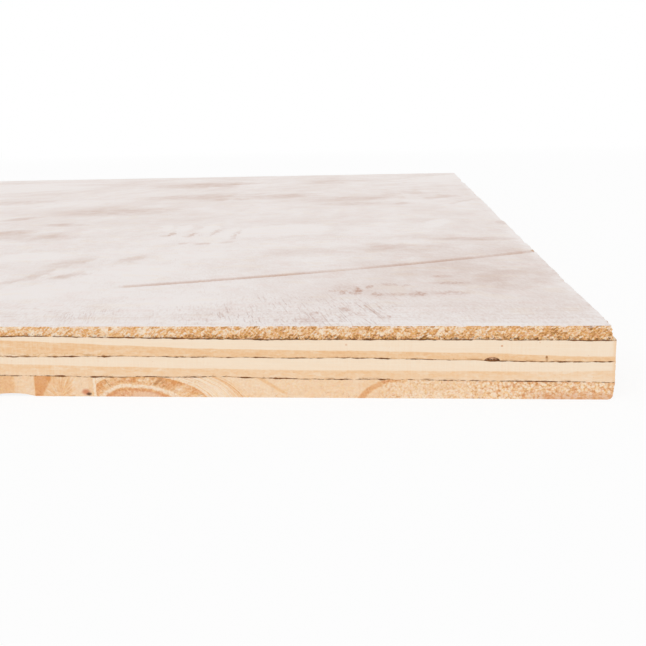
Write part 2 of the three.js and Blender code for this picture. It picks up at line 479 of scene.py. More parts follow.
# How bare the scrape is, from the right end to its tip
SCRAPE_WEAR = (
    (0, 0.34), (0.15, 0.3), (0.25, 0.4), (0.33, 0.48), (0.42, 0.38), (0.5, 0.28), (0.58, 0.36),
    (0.66, 0.64), (0.78, 0.56), (0.95, 0.56), (0.985, 0.45), (1, 0),
)


def scrape_place(graph):
    """Where a point lies along the scrape, from 0 at the right end to 1, and across it in millimetres."""
    node = graph.add("ShaderNodeMapping", vector_type="TEXTURE")
    graph.feed(node.inputs["Vector"], graph.place)
    node.inputs["Location"].default_value = (*SCRAPE_EXIT, 0)
    node.inputs["Rotation"].default_value = (0, 0, math.radians(SCRAPE_TURN))
    inward, across, _ = graph.parts(node.outputs["Vector"])
    along = inward / -SCRAPE_LENGTH
    return along, across + along * (1 - along) * (4 * SCRAPE_BOW)


MARKS_AT_ONCE = 12


def marked(graph, marks, x, y):
    """The strengths of the marks at a point, added up.

    Cycles holds few numbers at once, so the marks are worked out a few at a time. The sum so far stands in
    for the height of the point, which the marks don't feel, and that makes each few wait for the last.
    """
    total = 0
    for first in range(0, len(marks), MARKS_AT_ONCE):
        place = graph.vector(x, y, total)
        for mark_x, mark_y, half_x, half_y, turn, strength in marks[first:first + MARKS_AT_ONCE]:
            away = graph.distance((mark_x, mark_y, 0), (half_x, half_y, UNBOUNDED), turn, place)
            total = away.below(0.3, 1.15) * strength + total
    return total


def whitewashed_face(finish):
    """White wash on a peeled softwood face: patchy cover, grain lines, scratches and rubbed places."""
    graph = Graph("whitewashed face")
    x, y = graph.x, graph.y
    lean = y.above(-480, -60) * 70
    wander = graph.noise((200, 260, 50), 1, 1) * 20
    grain = graph.vector(x + lean + wander, y, graph.z)

    patches = graph.noise((48, 90, 20), 2, 4, 0.6)
    blots = graph.noise((14, 24, 20), 5, 3, 0.6)
    streaks = graph.noise((5, 46, 20), 3, 2, 0.5, grain)
    flecks = graph.noise((2.6, 6, 5), 4, 3, 0.6, grain)
    pores = graph.noise((0.34, 3.2, 1), 6, 2, 0.6, grain)
    grit = graph.noise((0.5, 1.9, 0.5), 7, 2, 0.65)
    front = y.below(-300, -272)
    cover = 0.91 + (patches - 0.5) * 0.5 + (blots - 0.5) * 0.34 + (streaks - 0.5) * 0.1
    fine = (flecks - 0.5) * 0.24 + (pores - 0.5) * 0.3 + (grit - 0.5) * (front * 0.45 + 0.25)
    cover = cover + fine * (y.below(-190, -80) * 0.45 + 0.55)
    # Lighter along the front arris: partly wash gathered there and partly a painted highlight.
    cover = cover + y.below(-304, -298) * 0.05

    stray = ((patches - 0.5) * 34 + (streaks - 0.5) * 10) * (y.above(-260, 60) * 0.85 + 0.15)
    ragged_x = x + (flecks - 0.5) * 7 + (blots - 0.5) * 56 * y.above(-120, 60)
    ragged_y = y + stray
    ragged = graph.vector(ragged_x, ragged_y, 0)
    broken = graph.noise((6, 8, 4), 11, 3, 0.6).above(0.34, 0.62) + 0.95
    cover = cover - marked(graph, FACE_MARKS, ragged_x, ragged_y) * broken
    worn = graph.noise((30, 76, 20), 22, 3, 0.6, graph.vector(ragged_x, y, 0)).above(0.54, 0.7)
    cover = cover - worn * (x + y * 0.46).below(240, 350) * (flecks * 0.3 + 0.05)
    rub = graph.noise((0.8, 1.7, 1), 10, 3, 0.65).above(0.38, 0.6)
    rubbed = marked(graph, FACE_RUBS, x + (flecks - 0.5) * 4, y + (pores - 0.5) * 5) * (rub * 0.45 + 0.15)

    scratched = graph.vector(x + y * 0.27, y, 0)
    hair = graph.noise((0.34, 22, 1), 8, 1, 0.5, scratched).above(0.59, 0.7)
    hair = hair * graph.noise((2.6, 9, 1), 13, 2, 0.6, scratched).above(0.44, 0.58)
    dots = graph.noise((0.36, 3.2, 1), 12, 1, 0.5, scratched).above(0.56, 0.68)
    bunch = (
        graph.distance((560, -289, 0), (20, 18, UNBOUNDED), -14, ragged).below(0.5, 1.2)
        + graph.distance((519.5, -294, 0), (9, 9, UNBOUNDED), -14, ragged).below(0.4, 1.1) * 0.6
        + graph.noise((22, 26, 10), 9, 2).above(0.52, 0.68) * 0.35
    )
    ticks = graph.noise((0.26, 6, 1), 19, 0, 0.5, scratched).above(0.5, 0.58)
    ticks = ticks * marked(graph, FACE_TICKS, x, y)
    stray_hair = hair * bunch * 0.62
    hairlines = stray_hair + marked(graph, FACE_SCRATCHES, x, y) + ticks
    dotted = dots * (bunch * 0.5 + front * graph.noise((14, 9, 9), 14, 2).above(0.42, 0.6) * 0.5)
    rakes = graph.noise((24, 0.9, 1), 18, 2, 0.6).above(0.52, 0.66) * front
    cover = cover - hairlines * 0.45 - dotted * 0.11 - rubbed - rakes * 0.14 + x.above(606, 609.5) * 0.12

    along, across = scrape_place(graph)
    scraped = across.within(0.8, 1.5) * along.curve(*SCRAPE_WEAR)
    cover = cover - scraped * (1.1 - blots * 0.3 - grit * 0.2)
    broken_edge = x.above(607.6, 609.4) * graph.noise((3, 6, 3), 17, 2).above(0.4, 0.62)
    cover = cover - broken_edge * 0.16
    cover = cover.at_least(0).at_most(1.06)
    colour = graph.mix(cover, finish.bare_face, finish.wash)
    reddened = (hairlines * 0.45 + dotted * 0.6 + rubbed * 2 + scraped * 0.5).at_most(1)
    colour = graph.mix(reddened * 0.3, colour, RUBBED_WASH)
    colour = graph.tinted(colour, 8, grain, 0.05)
    relief = pores * 0.6 + grit * 0.6 - stray_hair - dotted * 0.8
    roughness = 0.62 + (1 - cover) * 0.5 + (grit - 0.5) * 0.2
    return graph.finish(colour, roughness, relief, 0.07)


def torn_end_grain(finish):
    """End grain of the face ply: torn cells, pale flecks, slanted strokes, and dark pits at its foot that
    are partly torn cells and partly painted shade.
    """
    graph = Graph("torn end grain")
    through = graph.attribute("through_ply")
    along, flat = graph.along_edge("x")
    slant = graph.vector(along - graph.z * 0.8, graph.z, 0)
    clumps = graph.noise((0.9, 1.6, 1), 1, 2, 0.55, slant)
    grains = graph.noise((0.36, 0.32, 1), 2, 2, 0.6, flat)
    _, fleck = graph.cells((0.6, 0.46, 1), 3, slant)
    strokes = graph.noise((0.3, 2.4, 1), 4, 1, 0.5, slant)
    near_end = graph.x.above(597, 601)
    stroked = graph.noise((5, 9, 1), 6, 1, 0.5, flat).above(0.5, 0.62) + near_end * 0.5
    foot = through.below(0.05, 0.5)
    rough = graph.x.above(536, 546) * 0.5 + 0.5
    tone = 0.18 + (clumps - 0.5) * 0.9 + (grains - 0.5) * (rough * 1.4 + 0.9) + (fleck - 0.5) * 0.7
    tone = tone + foot * (rough * 0.36 - 0.08 - graph.x.above(576, 584) * 0.16)
    tone = tone + rough * 0.2 + near_end * (1 - foot) * 0.22 + (strokes - 0.5) * stroked * 1.5

    # The crevice along the glue line at the ply's foot is darkened with painted shade, and the dark pits,
    # strongest towards the foot, are torn cells with painted shade in them.
    pits = graph.noise((0.44, 0.34, 1), 5, 2, 0.6, flat)
    crevice_shade = through.below(0.03, 0.16) * graph.noise((1.6, 1, 1), 9, 2, 0.6, flat).above(0.42, 0.55)
    dark = pits.above(0.52, 0.68) * (through.below(0.1, 0.46) * 0.7 + 0.14) * rough + crevice_shade * 0.5
    drip = through.above(0.82, 0.97) * graph.noise((1.6, 0.7, 1), 7, 2, 0.5, flat).above(0.52, 0.62)

    stops = [(0, finish.cream_wood), (0.34, finish.tan_wood), (0.66, GOLDEN_WOOD), (1, finish.torn_wood)]
    colour = graph.ramp(tone, stops)
    orange = graph.noise((2.2, 1.5, 1), 10, 3, 0.65, slant).above(0.5, 0.62) * (1 - foot)
    colour = graph.mix(orange * grains.above(0.25, 0.75) * 0.9, colour, GOLDEN_WOOD)
    colour = graph.tinted(colour, 0.5, flat, 0.25)
    colour = graph.mix(dark.at_most(0.85), colour, finish.dark_wood_and_shade)
    colour = graph.mix(drip * 0.8, colour, finish.wash)
    relief = grains * 0.5 - dark * 0.6 + fleck * 0.4
    return graph.finish(colour, 0.75 + grains * 0.2, relief, 0.12)


def ringed_end_grain(finish, name, axis, layer=0):
    """End grain of a thick peeled ply: growth rings cut at a slant, smooth in places and mealy in others.

    layer sets which part of the log the ply is peeled from, so that no two plies carry the same rings.
    """
    graph = Graph(name)
    through = graph.attribute("through_ply")
    along, flat = graph.along_edge(axis)
    across = graph.y if axis == "x" else graph.x
    wobble = (graph.noise((3, 2, 1), 1, 3, 0.55, flat) - 0.5) * 0.2

    swing = graph.noise((34, 60, 1), 2 + layer, 2, 0.4, graph.vector(along, across, 0))
    field = graph.z / 4.2 + swing * 4.5 + wobble * 1.4 + layer * 0.37
    rings = field.fraction().curve((0, 0.08), (0.5, 0.3), (0.78, 0.7), (0.93, 0.9), (1, 0.1))
    mealy = graph.noise((26, 30, 30), 3 + layer, 1).above(0.42, 0.6)
    if axis == "x":
        corner = graph.x.above(STRETCH_START - 5, STRETCH_START)
        tones, bars = corner_rings(graph, wobble)
        rings = rings * (1 - corner) + tones * corner
        over_eye = (graph.x - 534).within(8, 2)
        mealy_corner = graph.x.above(572, 574) * 0.55 + graph.x.above(582, 594) * 0.3
        mealy_corner = mealy_corner + over_eye * 0.4 + 0.08
        mealy = mealy * (1 - corner) + mealy_corner * corner

    meal = graph.noise((0.4, 0.36, 1), 4, 2, 0.65, flat)
    blob, fleck = graph.cells((0.46, 0.42, 1), 5, flat)
    clouds = graph.noise((2.4, 1.6, 1), 6, 3, 0.6, flat)
    tone = rings + (clouds - 0.5) * 0.36 + (meal - 0.5) * (mealy * 1.6 + 0.4)
    coarse = mealy * (graph.x.above(582, 594) * 0.6 + 0.4) if axis == "x" else mealy * 0.4
    tone = tone + ((blob - 0.4) * 1.1 + (fleck - 0.5) * 0.6) * coarse
    colour = timber(graph, finish, tone)
    colour = graph.tinted(colour, 0.7, flat, mealy * 0.16 + 0.1)
    crevices = blob.above(0.5, 0.75) * meal.above(0.46, 0.6) * mealy
    crevices = crevices + (rings - 0.5) * meal.above(0.5, 0.7)
    colour = graph.mix((crevices * 0.4).at_most(0.4), colour, finish.torn_wood)
    if axis == "x":
        colour = graph.mix(bars * 0.5, colour, finish.torn_wood)
        inner = graph.from_spot(532, 0, 5.6, 1.5).below(0.7, 1.1)
        colour = graph.mix(inner * meal.above(0.3, 0.6) * 0.5, colour, EYE_WOOD)
        heart = graph.from_spot(533.6, 0.1, 2.9, 0.95).below(0.55, 1.05)
        colour = graph.mix(heart * 0.65, colour, EYE_HEART)
        halo = graph.from_spot(523.35, 0.8, 0.85, 0.62).below(0.3, 1.2)
        knot = graph.from_spot(523.85, 0.42, 0.5, 0.3).below(0.4, 1.3)
        colour = graph.mix(halo * 0.8, colour, KNOT_HALO)
        colour = graph.mix(knot * 0.9, colour, finish.dark_wood_and_shade)
        flush = graph.z.below(0.5, 1.5) * graph.x.above(594, 600)
        tilted = graph.vector(graph.x, graph.z - (graph.x - 600) * 0.06, 0)
        arcs = graph.noise((5, 0.2, 1), 14, 2, 0.6, tilted)
        colour = graph.mix(flush * (arcs * 0.8 + 0.1), colour, WORN_ARRIS)
    stain = through.above(0.95, 1) * graph.noise((1.8, 1, 1), 8, 3, 0.6, flat).above(0.46, 0.56)
    colour = graph.mix(stain * 0.5, colour, finish.torn_wood)
    relief = meal * 0.8 + clouds * 0.4
    return graph.finish(colour, 0.7 + meal * 0.2, relief, 0.08)


# The ring eye in the back ply: x of its middle and of its left end, how far a ring reaches to each side
# and upwards, and how far below the sheet its rings are centred, in millimetres
EYE_MIDDLE, EYE_LEFT_END = 530.7, 525.1
EYE_RIGHT_REACH, EYE_LEFT_REACH, EYE_HEIGHT = 10.6, 5.7, 4.67
EYE_DEPTH = 2.6

# Tones of its rings: stops of (ring number as a share of EYE_SPAN, tone)
EYE_SPAN = 3
EYE_RINGS = (
    (0, 0.45), (0.24, 0.45), (0.256, 0.5), (0.272, 0.85), (0.292, 0.8), (0.303, 0.25), (0.311, 0.04),
    (0.336, 0.04), (0.346, 0.44), (0.366, 0.62), (0.405, 0.72), (0.43, 0.82), (0.461, 0.86), (0.468, 0.16),
    (0.505, 0.05), (0.59, 0.12), (0.618, 0.34), (0.637, 0.46), (0.656, 0.28), (0.7, 0.2), (1, 0.27),
)

# Tones of the rings left of the eye, over the first millimetres of the stretch
LEFT_LENGTH = 18
LEFT_RINGS = (
    (0, 0.58), (0.15, 0.54), (0.175, 0.27), (0.35, 0.22), (0.37, 0.4), (0.7, 0.48), (0.735, 0.24),
    (0.86, 0.24), (0.9, 0.34), (0.925, 0.34), (0.93, 0), (0.95, 0), (0.957, 0.6), (1, 0.6),
)


def corner_rings(graph, wobble):
    """The rings of the eye and of the fan beside it, as tones, and the dark bars over the eye."""
    x, z = graph.x, graph.z
    past = x - EYE_MIDDLE
    reach = (past / EYE_RIGHT_REACH).at_least(past / -EYE_LEFT_REACH)
    above_eye = (z + EYE_DEPTH) / EYE_HEIGHT
    around = graph.math("ARCTAN2", above_eye, past / 9)
    first = graph.distance((0, 0, 0), (1, 1, 1), 0, graph.vector(reach, above_eye, 0)) + wobble * 0.4
    round_eye = graph.vector(around, first, 0)
    rays = graph.noise((0.1, 0.26, 1), 11, 3, 0.6, round_eye) - 0.5
    layers = graph.noise((0.7, 0.025, 1), 12, 1, 0.5, round_eye) - 0.5
    segments = graph.noise((0.2, 3, 1), 16, 1, 0.5, round_eye) - 0.5
    bars = graph.noise((0.055, 0.8, 1), 15, 2, 0.6, round_eye).above(0.55, 0.66)
    over_eye = first.above(1.04, 1.1) * first.below(1.34, 1.4)
    past_eye = first.above(1.41, 1.46) * first.below(1.82, 2.13)
    in_eye = x.above(EYE_LEFT_END, EYE_LEFT_END + 0.2)

    right = (first / EYE_SPAN).curve(*EYE_RINGS)
    right = right + (rays * 1.8 + segments * 1.6) * over_eye + layers * past_eye * 2.2
    slant = (x - 553.3 + (z - 3.1) * 1.64).within(0.2, 0.6) * z.above(0.2, 1)
    right = right + slant * 0.24 - x.above(538.4, 540.8) * z.below(0.4, 1.9) * over_eye * 0.42
    brow = (x - 531.5).within(4.2, 1.4) * first.above(1.14, 1.18) * first.below(1.36, 1.42)
    right = right - brow * 0.2

    left = ((x - STRETCH_START + wobble) / LEFT_LENGTH).curve(*LEFT_RINGS)
    band = x.above(514.3, 514.6) * (x - z * 0.55).below(515.4, 516)
    from_knot = graph.math("ARCTAN2", z + 0.3, x - 518.7)
    fan = graph.noise((0.11, 2.5, 1), 13, 2, 0.6, graph.vector(from_knot, z, 0)) - 0.5
    left = left + band * 0.46 + fan * x.above(516.2, 517.2) * x.below(520.6, 522) * 1.4
    tones = left + (right - left) * in_eye

    second = graph.from_spot(577.5, -3.2, 9, 6.6) + wobble * 0.4
    ring = (second - 1).within(0.03, 0.05) * x.below(575, 579)
    plain = 0.27 - x.above(572, 578) * z.below(0.6, 2) * 0.07 + ring * 0.5
    return tones + (plain - tones) * x.above(558, 562), bars * over_eye * in_eye


def sawn_long_grain(finish, name, corner_line, strength, hold, period, paling):
    """Long grain of a crossband: cream earlywood over a tan band that starts at a line and fades.

    corner_line gives the line near the worn corner: stops of (share of that stretch, depth as a share of
    the ply). strength is the band's tone, hold is how much of it is left half way down, period is the
    depth from one such line to the next, and paling is how much the band fades towards the corner.
    """
    graph = Graph(name)
    through = graph.attribute("through_ply")
    line = ((graph.x - STRETCH_START) / STRETCH_LENGTH).curve(*corner_line)
    swell = (graph.noise((150, 150, 150), 1, 2) - 0.5) * graph.x.below(490, STRETCH_START) * 0.9
    ripple = (graph.noise((12, 12, 12), 2, 2) - 0.5) * 0.1
    depth = (1 - through) - line + swell + ripple
    ring = (depth / period + 20).fraction()
    corner = graph.x.above(490, STRETCH_START)
    ring = ring + ((depth / period).at_least(0) - ring) * corner
    band = ring.curve((0, 0), (0.03, 0.9), (0.12, 0.95), (0.42, hold), (0.72, hold * 0.4), (1, 0))

    clouds = graph.noise((7, 7, 0.9), 3, 3, 0.6)
    fibre = graph.noise((9, 9, 0.18), 4, 2, 0.6)
    grain = graph.noise((0.7, 0.7, 0.34), 10, 2, 0.6)
    ticks = graph.noise((0.35, 0.35, 5), 5, 2, 0.6)
    sawn = graph.noise((14, 14, 4), 9, 1).above(0.46, 0.6) * 0.14 + graph.x.below(516, 532) * 0.16 + 0.06
    strength = strength * (1 - graph.x.above(586, 600) * paling)
    tone = band * strength + 0.04 + (clouds - 0.5) * (band * 0.3 + 0.08) + (fibre - 0.5) * 0.18
    tone = tone + (ticks - 0.5) * sawn + (grain - 0.5) * (band * 0.48 + 0.05)
    pale = graph.noise((2.5, 2.5, 0.6), 6, 3, 0.6).above(0.56, 0.66) * band * 0.14
    colour = timber(graph, finish, tone - pale)
    speck = graph.noise((0.5, 0.5, 0.35), 7, 1).above(0.72, 0.8)
    colour = graph.mix(speck * 0.45, colour, finish.late_wood)
    seep = graph.noise((1.7, 1.7, 0.6), 8, 3, 0.6)
    foot = through.below(0, 0.06) * seep.above(0.4, 0.52)
    foot = foot + through.below(0.02, 0.12) * seep.above(0.56, 0.62)
    brow = through.above(0.97, 1) * seep.below(0.42, 0.56)
    colour = graph.mix((foot * 0.6 + brow * 0.4).at_most(0.7), colour, finish.torn_wood)
    colour = graph.mix(graph.x.above(609.2, 609.9) * 0.6, colour, finish.tan_wood)
    seeping = (graph.z - 7.1).within(0.2, 0.4) * graph.x.below(525, 532)
    mottle = graph.noise((0.9, 0.9, 0.4), 12, 3, 0.65).above(0.5, 0.62) * seeping
    colour = graph.mix(mottle * 0.45, colour, SEEPED_GLUE)
    for *spot, share, shade in CORNER_MARKS:
        mark = graph.from_spot(*spot).below(0.5, 1.2)
        colour = graph.mix(mark * share, colour, shade or finish.torn_wood)
    relief = fibre * 0.5 + ticks * 0.5
    return graph.finish(colour, 0.68 + clouds * 0.15, relief, 0.03)


# Smudges, a crack and two orange specks in the upper core ply: x and z of the middle and the half sizes in
# millimetres, strength, and the colour where it isn't torn wood
CORNER_MARKS = (
    (513, 6.95, 0.75, 0.2, 0.6, None),
    (524.2, 7.2, 1, 0.16, 0.3, None),
    (526.8, 7.05, 0.35, 0.2, 0.6, None),
    (599.25, 6.95, 0.2, 0.24, 0.9, None),
    (599.3, 6.6, 0.24, 0.55, 0.5, None),
    (592.24, 8.75, 0.2, 0.16, 0.75, ORANGE_SPECK),
    (567.38, 8.94, 0.22, 0.2, 0.36, ORANGE_SPECK),
)

# Where the tan band of each crossband starts near the worn corner
UPPER_CORNER_LINE = ((0, 0.16), (0.15, 0.33), (0.34, 0.51), (0.6, 0.59), (0.83, 0.63), (1, 0.75))
LOWER_CORNER_LINE = ((0, 0.33), (0.15, 0.46), (0.35, 0.56), (0.6, 0.57), (0.83, 0.5), (1, 0.41))


def torn_long_grain(finish, ply):
    """Long grain on a short end of the face or back ply: fibres that run along the end."""
    graph = Graph(f"torn long grain of the {ply} ply")
    fibre = graph.noise((6, 22, 0.25), 1, 3, 0.6)
    clouds = graph.noise((8, 30, 1.5), 2, 3, 0.55)
    split = graph.noise((4, 34, 0.3), 3, 1, 0.5).above(0.66, 0.76)
    tone = 0.34 + (clouds - 0.5) * 1.0 + (fibre - 0.5) * 0.6
    colour = graph.mix(split * 0.5, timber(graph, finish, tone), finish.dark_wood_and_shade)
    colour = graph.mix(graph.z.above(11.3, 11.8) * 0.7, colour, finish.bare_face)
    return graph.finish(colour, 0.7 + fibre * 0.2, fibre - split, 0.08)


def peeled_face(finish, name):
    """A bare peeled face: figure that runs across the sheet, pores and short lathe checks."""
    graph = Graph(name)
    wander = graph.noise((180, 260, 50), 1, 1) * 40
    grain = graph.vector(graph.x + wander, graph.y, graph.z)
    field = graph.noise((52, 380, 30), 2, 1, 0.4, grain) * 11
    rings = field.fraction().curve((0, 0.1), (0.6, 0.35), (0.86, 0.85), (0.95, 0.9), (1, 0.1))
    streaks = graph.noise((5, 80, 20), 3, 3, 0.6, grain)
    pores = graph.noise((0.4, 5, 1), 4, 2, 0.6, grain)
    patches = graph.noise((120, 160, 50), 5, 2)
    checks = graph.noise((0.5, 30, 1), 6, 1, 0.5, grain).above(0.68, 0.76)
    tone = rings * 0.6 + (streaks - 0.5) * 0.4 + (pores - 0.5) * 0.2 + (patches - 0.5) * 0.5 + 0.05
    colour = graph.mix(checks * 0.35, timber(graph, finish, tone), finish.dark_wood_and_shade)
    return graph.finish(colour, 0.72 + pores * 0.15, pores - checks * 0.8, 0.06)


def pocket_resin(finish):
    """Resin that fills a hollow: brown crumbs, with a painted highlight that makes it paler at the top."""
    graph = Graph("pocket resin")
    crumbs = graph.noise((0.26, 0.26, 0.2), 3, 2)
    colour = graph.mix(crumbs.above(0.42, 0.6), POCKET_CRUST, finish.glue)
    # The upper half of the lumps is made paler: a painted highlight.
    colour = graph.mix(graph.z.above(6.58, 6.84) * crumbs.below(0.4, 0.7), colour, POCKET_TOP_HIGHLIGHT)
    seam = (graph.x - 590.62).within(0.1, 0.24) * graph.z.above(6.36, 6.62)
    colour = graph.mix(seam * 0.85, colour, POCKET_SEAM)
    return graph.finish(colour, 0.55, crumbs, 0.04)


def cured_glue(finish):
    """Dark resin that has squeezed out unevenly."""
    graph = Graph("cured glue")
    flow = graph.noise((2.2, 2.2, 0.5), 1, 3, 0.6)
    crumbs = graph.noise((0.3, 0.3, 0.3), 2, 2)
    colour = graph.mix(flow.above(0.48, 0.62) * 0.55, finish.glue, finish.dark_wood_and_shade)
    colour = graph.mix(crumbs.above(0.5, 0.66) * 0.5, colour, finish.torn_wood)
    return graph.finish(colour, 0.45 + flow * 0.3, crumbs, 0.03)


# ---------------------------------------------------------------- form of the plies

def line_heights(node, pick):
    """Heights of a glue line, read along the rear edge of a solid: stations and heights."""
    heights = {}
    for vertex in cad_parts[node].data.vertices:
        if vertex.co.y > BACK_EDGE - 0.01 * MM:
            station = round(vertex.co.x, 6)
            heights[station] = pick(heights.get(station, vertex.co.z), vertex.co.z)
    stations = sorted(heights)
    return np.array(stations), np.array([heights[station] for station in stations])


def fade(distance, reach):
    """1 at no distance, falling smoothly to 0 at the reach."""
    share = min(max(1 - distance / reach, 0), 1)
    return share * share * (3 - 2 * share)


class GlueLine:
    """One glue line: its height along the sheet, and how thick the glue is.

    fullness is how thick the glue mostly is, as a share of the nominal thickness. Near the worn corner
    swells are rises and falls of the line, as (middle, half length, swell) in millimetres, and beads are
    short stretches of thicker glue, as (middle, half length) in millimetres.
    """

    def __init__(self, node, pick, number, fullness, swells, beads):
        self.stations, self.heights = line_heights(node, pick)
        self.number = number
        self.fullness = fullness
        self.swells = swells
        self.beads = beads

    def level(self, x):
        """Height of the line between the solids."""
        return float(np.interp(x, self.stations, self.heights))

    def rise(self, x):
        """How far the line strays from that level."""
        rise = 0.07 * MM * self.noise(x, 4, 60) + 0.05 * MM * self.noise(x, 1.2, 80)
        for middle, half_length, swell in self.swells:
            rise += swell * MM * fade(abs(x - middle * MM), half_length * MM)
        return rise

    def height(self, x):
        return self.level(x) + self.rise(x)

    def noise(self, x, lump, seed, y=0.0):
        return noise.noise(Vector((x / (lump * MM), y / (lump * MM), 7.3 * self.number + seed)))

    def share(self, x, y):
        """Thickness of the glue here, as a share of the nominal one. It is almost nothing in places."""
        flow = 0.8 * self.noise(x, 6, 0, y) + 0.9 * self.noise(x, 1.7, 20, y)
        flow += 0.9 * self.noise(x, 0.7, 40, y) + 0.6 * self.noise(x, 0.4, 60, y)
        beads = sum(fade(abs(x - middle * MM), half_length * MM) for middle, half_length in self.beads)
        return max(0.06, self.fullness + flow + 0.8 * beads)


UPPER_GLUE = GlueLine(
    "upper_crossband", max, 1, 0.53,
    ((514, 14, 0.14), (556, 34, -0.2)),
    ((527.8, 2), (537.5, 6), (604, 4)),
)
MIDDLE_GLUE = GlueLine(
    "upper_crossband", min, 2, 0.5,
    ((514, 14, -0.2), (568, 12, 0.14), (598, 12, -0.14), (590.7, 3, -0.09)),
    ((517.9, 1.4), (521, 1.2), (526.9, 0.7), (551.2, 2), (573.6, 1.6), (603.8, 1.5), (605.6, 1.4),
     (606.7, 1.5), (607.6, 1.4), (609, 1.2)),
)
LOWER_GLUE = GlueLine(
    "lower_crossband", min, 3, 0.5,
    ((526, 8, -0.12), (546, 8, 0.14), (562, 8, -0.1)),
    ((519, 1.8), (525.4, 1.4), (550.6, 1.6), (556.4, 2.4), (573.4, 1.6), (597.6, 1.6)),
)


class Solid:
    """A solid of the frame that a ply takes its worn outline from."""

    OUTSIDE = 10 * MM
    SHY = 0.03 * MM

    def __init__(self, node):
        self.tree = BVHTree.FromObject(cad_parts[node], bpy.context.evaluated_depsgraph_get())

    def end_worn_back(self, y, z):
        """How far the right end stands back at this height."""
        start = Vector((RIGHT_END + self.OUTSIDE, within_width(y), z))
        hit = self.tree.ray_cast(start, Vector((-1, 0, 0)))[0]
        return RIGHT_END - hit.x if hit else 0.0

    def height(self, x, y, from_above):
        """Height of the upper or lower side here, or None past the outline."""
        start = Vector((x, within_width(y), FACE_LEVEL + self.OUTSIDE if from_above else -self.OUTSIDE))
        hit = self.tree.ray_cast(start, Vector((0, 0, -1 if from_above else 1)))[0]
        return hit.z if hit else None


def within_width(y):
    return min(max(y, FRONT_EDGE + Solid.SHY), BACK_EDGE - Solid.SHY)


def longest_edge(detail, extra=None):
    """A function that gives the longest mesh edge allowed at a point of the sheet."""
    stretch_start = RIGHT_END - detail.fine_stretch
    finest, growth, inward_growth = detail.finest_edge, detail.edge_growth, detail.inward_growth

    def allowed(point):
        inward = min(RIGHT_END - point.x, point.x - LEFT_END, point.y - FRONT_EDGE, BACK_EDGE - point.y)
        beside = max(stretch_start - point.x, 0)
        away = math.hypot(beside, point.y - FRONT_EDGE)
        length = finest + growth * away + inward_growth * max(inward, 0)
        return min(length, extra(point)) if extra else length

    return allowed


def halve_long_edges(mesh, allowed):
    """Halves mesh edges until none is longer than is allowed at its ends and middle.

    The longest go first, so that a long thin side is cut into squares before they are cut smaller.
    """

    def too_long(edge):
        first, last = edge.verts[0].co, edge.verts[1].co
        return edge.calc_length() > min(allowed(first), allowed(last), allowed((first + last) / 2))

    waiting = {edge for edge in mesh.edges if too_long(edge)}
    while waiting:
        longest = max(edge.calc_length() for edge in waiting)
        cut = [edge for edge in waiting if edge.calc_length() > 0.7 * longest]
        split = bmesh.ops.subdivide_edges(mesh, edges=cut, cuts=1, use_grid_fill=True)
        touched = {part for part in split["geom"] if isinstance(part, bmesh.types.BMEdge)}
        waiting = {edge for edge in waiting - touched if edge.is_valid}
        waiting |= {edge for edge in touched if too_long(edge)}


def blank(thickness):
    """A flat board of the sheet's outline, with a material slot number on each of its sides."""
    mesh = bmesh.new()
    bmesh.ops.create_cube(mesh, size=1)
    size = Vector((RIGHT_END - LEFT_END, BACK_EDGE - FRONT_EDGE, thickness))
    middle = Vector(((RIGHT_END + LEFT_END) / 2, (BACK_EDGE + FRONT_EDGE) / 2, thickness / 2))
    bmesh.ops.scale(mesh, vec=size, verts=mesh.verts)
    bmesh.ops.translate(mesh, vec=middle, verts=mesh.verts)
    for side in mesh.faces:
        if abs(side.normal.z) > 0.5:
            side.material_index = FACE if side.normal.z > 0 else UNDERSIDE
        else:
            side.material_index = LONG_EDGE if abs(side.normal.y) > 0.5 else SHORT_END
    return mesh


def end_grain_relief(point, through, depth):
    """How deep sawn end grain is torn at a point of an edge: cells and, mostly low in the ply, pits."""
    cells = noise.noise(point / (0.42 * MM))
    clumps = noise.noise(point / (1.7 * MM) + Vector((5, 0, 0)))
    pits = max(0, noise.noise(point / (0.5 * MM) + Vector((0, 0, 31))) - 0.28) * 2.6
    return depth * max(0, 0.35 + 0.35 * cells + 0.3 * clumps + pits * (1.5 - through))


def long_grain_relief(point, _, depth):
    """How deep sawn long grain is furred at a point of an edge, as deep at any height of the ply."""
    fibres = noise.noise(Vector((point.x / (7 * MM), point.y / (7 * MM), point.z / (0.22 * MM))))
    across_fibres = Vector((point.x / (0.9 * MM), point.y / (0.9 * MM), point.z / (9 * MM)))
    saw = noise.noise(across_fibres + Vector((9, 9, 9)))
    return depth * max(0, 0.5 + 0.5 * fibres + 0.3 * saw)


NEAR = 0.001 * MM         # a vertex this near an edge of the sheet is on it
SKIN = 0.001              # a vertex this near a ply's side, as a share of its thickness, is on it
WORN_ZONE = 1.5 * MM      # the right end's wear reaches no further in than this
WEAR_SPREAD = 12 * MM     # over which the mesh is drawn back with it


